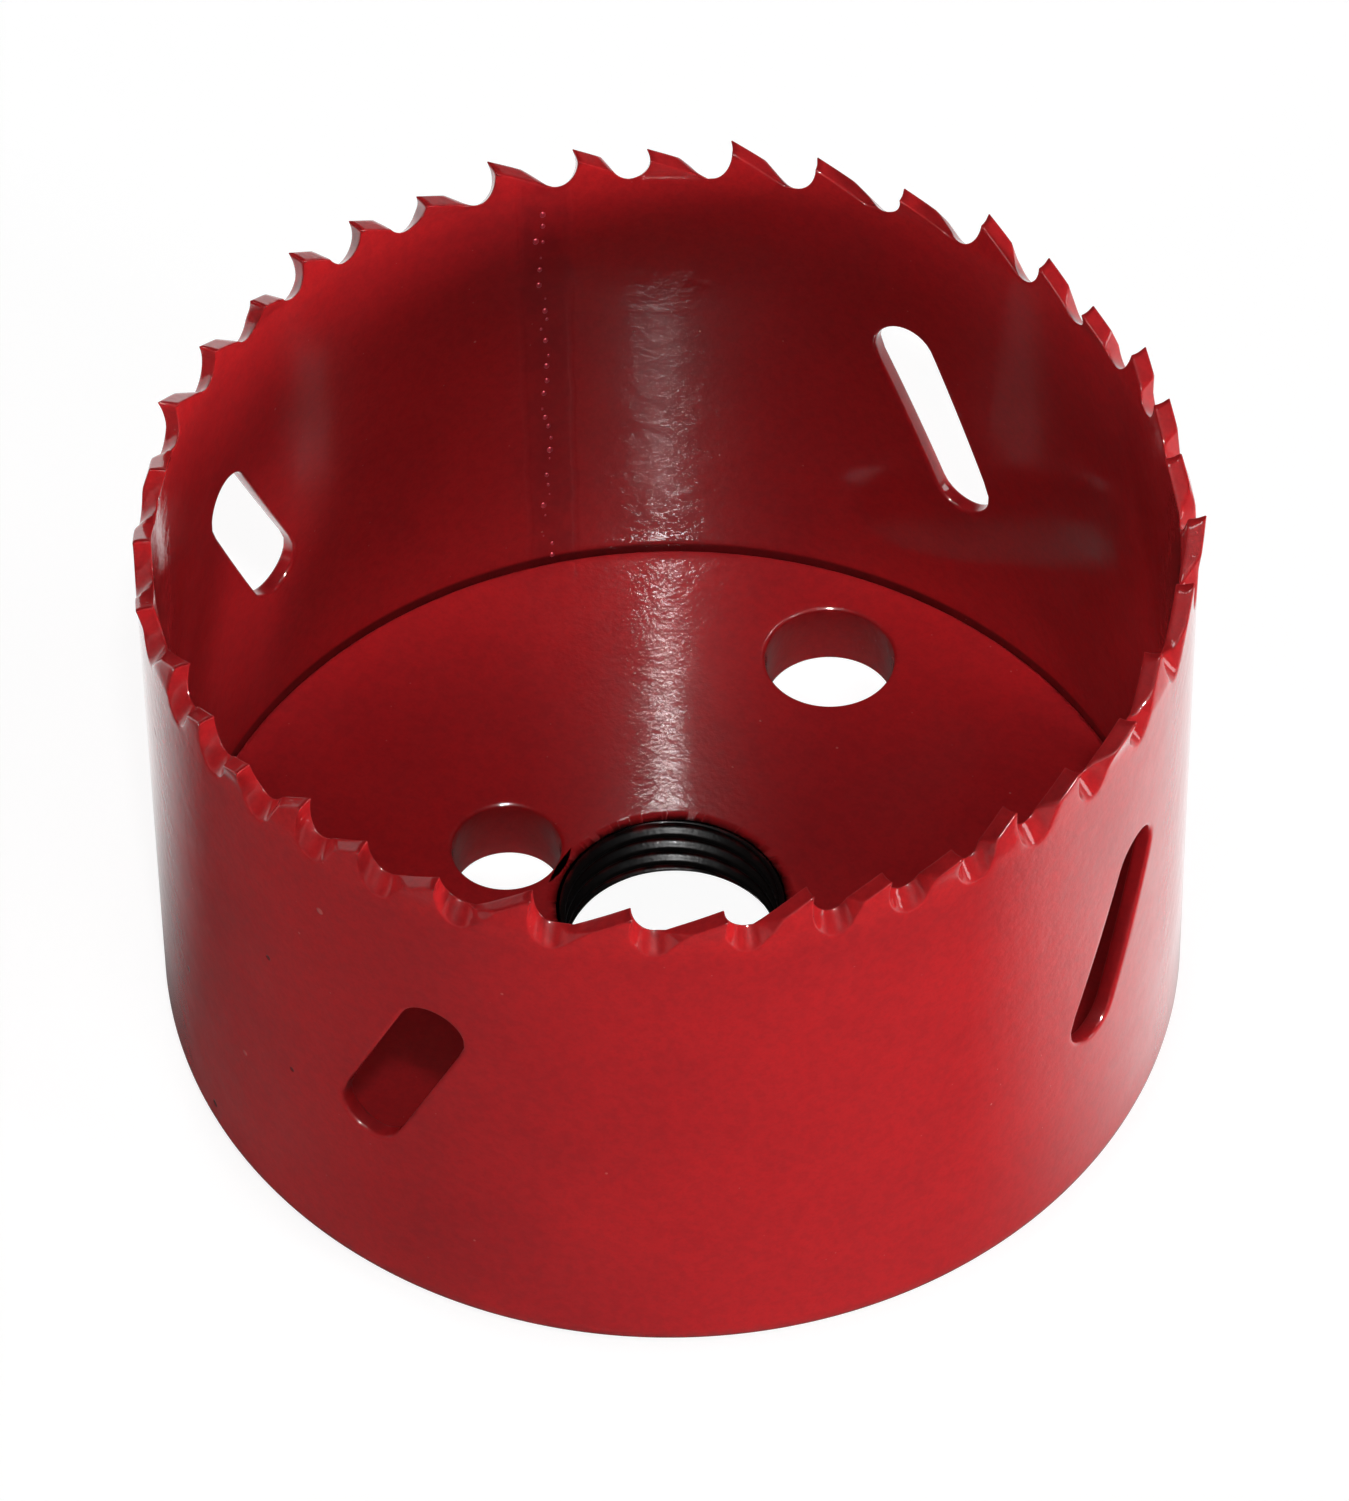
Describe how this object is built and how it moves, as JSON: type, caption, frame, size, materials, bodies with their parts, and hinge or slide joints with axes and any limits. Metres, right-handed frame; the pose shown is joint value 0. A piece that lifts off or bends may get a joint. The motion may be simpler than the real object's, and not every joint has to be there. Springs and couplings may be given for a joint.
{
  "type": "hole saw",
  "caption": "Red-enamelled bi-metal hole saw: a toothed cup with slanted slots on a thick back plate with a threaded arbor hole.",
  "frame": {"origin": "where the spindle axis meets the underside of the back plate", "axes": "+Z along the spindle axis from the back plate to the teeth; +X and +Y through two of the four slots"},
  "size_m": [0.0695, 0.0695, 0.0438],
  "materials": {
    "wall_enamel": "gloss red stoving enamel over steel",
    "plate_enamel": "gloss red stoving enamel over steel"
  },
  "bodies": {
    "root": {"saw_wall": "wall_enamel", "back_plate": "plate_enamel"}
  },
  "joints": []
}
